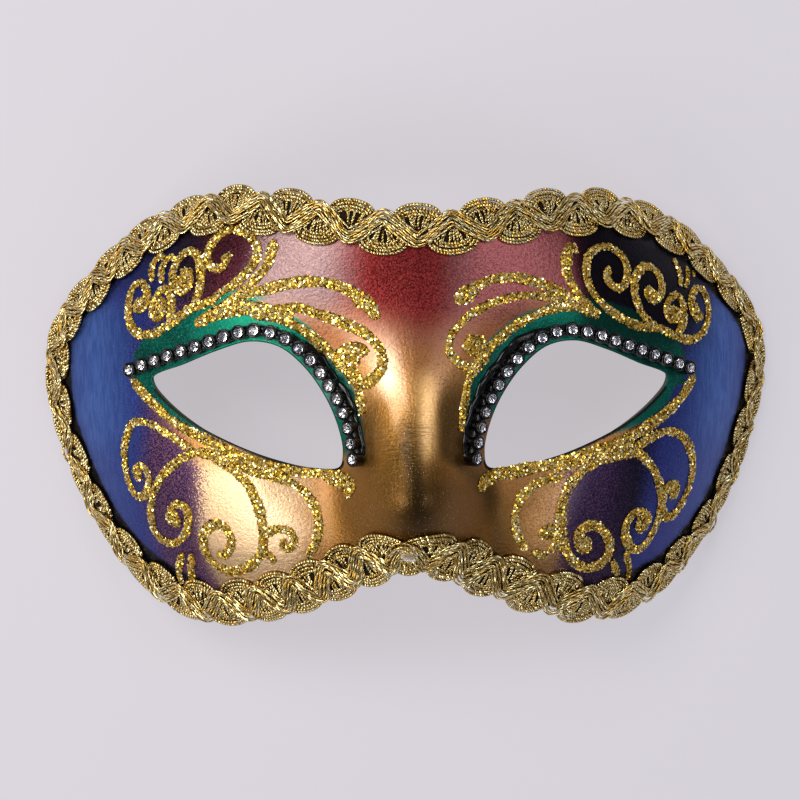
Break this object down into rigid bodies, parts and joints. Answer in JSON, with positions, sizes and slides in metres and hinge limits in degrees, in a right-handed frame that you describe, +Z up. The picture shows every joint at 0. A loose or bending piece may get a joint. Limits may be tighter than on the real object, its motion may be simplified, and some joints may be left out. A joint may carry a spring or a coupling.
{
  "type": "rhinestone half mask",
  "caption": "Curved papier-mache half mask with eye holes, painted and glittered, edged with gold scroll braid, with rhinestone banding over the eyes.",
  "frame": {"origin": "on the resting plane, under the middle of the mask's width and height, the mask lying face up", "axes": "+X across the face to the viewer's right, +Y from the cheeks to the forehead, +Z up out of the face"},
  "size_m": [0.1808, 0.1086, 0.0606],
  "materials": {
    "painted_paper": "papier-mache, metallic acrylic paint, satin",
    "gold_braid": "foil-wrapped metallic cord gimp, antique gold",
    "black_banding": "moulded, glossy",
    "clear_stone": "cut and polished, clear"
  },
  "bodies": {
    "root": {"paper_shell": "painted_paper", "scroll_braid": "gold_braid", "banding_left": "black_banding", "stone_left_01": "clear_stone", "stone_left_02": "clear_stone", "stone_left_03": "clear_stone", "stone_left_04": "clear_stone", "stone_left_05": "clear_stone", "stone_left_06": "clear_stone", "stone_left_07": "clear_stone", "stone_left_08": "clear_stone", "stone_left_09": "clear_stone", "stone_left_10": "clear_stone", "stone_left_11": "clear_stone", "stone_left_12": "clear_stone", "stone_left_13": "clear_stone", "stone_left_14": "clear_stone", "stone_left_15": "clear_stone", "stone_left_16": "clear_stone", "stone_left_17": "clear_stone", "stone_left_18": "clear_stone", "stone_left_19": "clear_stone", "stone_left_20": "clear_stone", "stone_left_21": "clear_stone", "banding_right": "black_banding", "stone_right_01": "clear_stone", "stone_right_02": "clear_stone", "stone_right_03": "clear_stone", "stone_right_04": "clear_stone", "stone_right_05": "clear_stone", "stone_right_06": "clear_stone", "stone_right_07": "clear_stone", "stone_right_08": "clear_stone", "stone_right_09": "clear_stone", "stone_right_10": "clear_stone", "stone_right_11": "clear_stone", "stone_right_12": "clear_stone", "stone_right_13": "clear_stone", "stone_right_14": "clear_stone", "stone_right_15": "clear_stone", "stone_right_16": "clear_stone", "stone_right_17": "clear_stone", "stone_right_18": "clear_stone", "stone_right_19": "clear_stone", "stone_right_20": "clear_stone", "stone_right_21": "clear_stone"}
  },
  "joints": []
}
